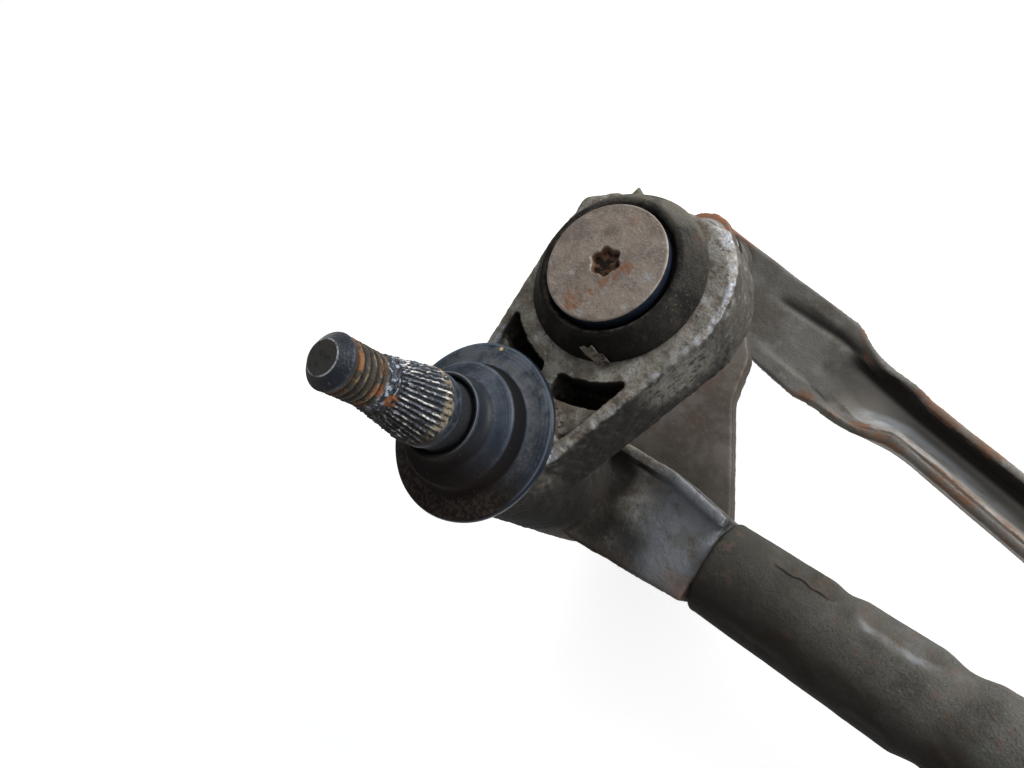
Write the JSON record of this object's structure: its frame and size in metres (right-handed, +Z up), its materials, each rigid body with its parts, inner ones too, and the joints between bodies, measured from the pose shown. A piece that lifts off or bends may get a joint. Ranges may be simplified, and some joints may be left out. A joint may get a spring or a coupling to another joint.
{
  "type": "windshield wiper motor and linkage",
  "caption": "Front wiper drive: worm gear motor and crank on a crimped tube frame between die-cast pivot housings, with link rods turning levers on threaded wiper spindles.",
  "frame": {"origin": "axis of the first wiper spindle, at the upper end of its knurled cone where the thread starts", "axes": "+Z up the spindle towards the wiper arm, +X along the frame tube to the second spindle, +Y towards the mounting eyes"},
  "size_m": [0.5532, 0.2167, 0.1191],
  "materials": {
    "cast_alloy": "die-cast, corroded",
    "dark_steel": "blackened, rusty thread",
    "cap_rubber": "aged rubber",
    "spring_steel": "oiled",
    "bronze": "sintered",
    "white_plastic": "acetal",
    "lever_steel": "dull, rust tinted",
    "bright_steel": "turned",
    "grommet_rubber": "dusty rubber",
    "zinc_steel": "zinc plated",
    "screw_steel": "corroded head",
    "tube_paint": "dull dark coating",
    "black_plastic": "glass-filled",
    "brass": "plated blade",
    "core_steel": "stacked sheet",
    "copper": "enamelled copper",
    "can_paint": "black, satin",
    "magnet": "ferrite",
    "carbon": "carbon",
    "rod_steel": "dull, rusty edges",
    "socket_plastic": "acetal"
  },
  "bodies": {
    "frame": {"brush_plate": "black_plastic", "brushes": "carbon", "connector_pins": "brass", "cover_screws": "zinc_steel", "foot_grommet": "grommet_rubber", "foot_sleeve": "zinc_steel", "frame_tube": "tube_paint", "front_bearing": "bronze", "gear_cover": "black_plastic", "gear_housing": "cast_alloy", "housing_screws": "zinc_steel", "lower_bush_a": "bronze", "lower_bush_b": "bronze", "magnets": "magnet", "middle_bearing": "bronze", "motor_bracket": "tube_paint", "motor_can": "can_paint", "mount_grommet_a": "grommet_rubber", "mount_grommet_b": "grommet_rubber", "mount_screw_a": "screw_steel", "mount_screw_b": "screw_steel", "mount_sleeve_a": "zinc_steel", "mount_sleeve_b": "zinc_steel", "output_bush": "bronze", "pivot_housing_a": "cast_alloy", "pivot_housing_b": "cast_alloy", "rear_bearing": "bronze", "spindle_cap_a": "cap_rubber", "spindle_cap_b": "cap_rubber", "spindle_washer_a": "spring_steel", "spindle_washer_b": "spring_steel", "upper_bush_a": "bronze", "upper_bush_b": "bronze"},
    "spindle_a": {"spindle_a": "dark_steel", "spindle_circlip_a": "spring_steel", "thrust_washer_a": "white_plastic", "spindle_lever_a": "lever_steel", "lever_ball_stud_a": "bright_steel"},
    "spindle_b": {"spindle_b": "dark_steel", "spindle_circlip_b": "spring_steel", "thrust_washer_b": "white_plastic", "spindle_lever_b": "lever_steel", "lever_ball_stud_b": "bright_steel"},
    "rod_a": {"link_rod_a": "rod_steel", "ball_socket_a": "socket_plastic", "crank_socket_a": "socket_plastic", "crank_ball_stud": "bright_steel"},
    "rod_b": {"link_rod_b": "rod_steel", "ball_socket_b": "socket_plastic", "crank_socket_b": "socket_plastic"},
    "crank": {"worm_wheel": "white_plastic", "output_shaft": "bright_steel", "crank_arm": "zinc_steel", "crank_nut": "zinc_steel", "crank_rivet": "bright_steel"},
    "armature": {"armature_shaft": "bright_steel", "armature_core": "core_steel", "armature_windings": "copper", "commutator": "copper"}
  },
  "joints": [
    {"name": "spindle_a_turn", "type": "hinge", "parent": "frame", "child": "spindle_a", "pos_m": [0, 0, 0], "axis": [0, 0, 1], "range_deg": [-58.5, 17.9]},
    {"name": "spindle_b_turn", "type": "hinge", "parent": "frame", "child": "spindle_b", "pos_m": [0.5, 0, 0], "axis": [0, 0, 1], "range_deg": [-58.5, 17.9]},
    {"name": "rod_a_pivot", "type": "hinge", "parent": "spindle_a", "child": "rod_a", "pos_m": [-0.0082, 0.06146, -0.0845], "axis": [0, 0, 1], "range_deg": [-17.9, 58.5]},
    {"name": "rod_b_pivot", "type": "hinge", "parent": "spindle_b", "child": "rod_b", "pos_m": [0.4918, 0.06146, -0.0845], "axis": [0, 0, 1], "range_deg": [-17.9, 58.5]},
    {"name": "crank_turn", "type": "hinge", "parent": "frame", "child": "crank", "pos_m": [0.2628, -0.0512, -0.07], "axis": [0, 0, 1], "continuous": true},
    {"name": "armature_spin", "type": "hinge", "parent": "frame", "child": "armature", "pos_m": [0.25, -0.087, -0.05], "axis": [1, 0, 0], "continuous": true}
  ],
  "couplings": [
    {"joint": "spindle_b_turn", "follows": "spindle_a_turn", "ratio": 1},
    {"joint": "rod_a_pivot", "follows": "spindle_a_turn", "ratio": -1},
    {"joint": "rod_b_pivot", "follows": "spindle_a_turn", "ratio": -1},
    {"joint": "armature_spin", "follows": "crank_turn", "ratio": -60}
  ]
}
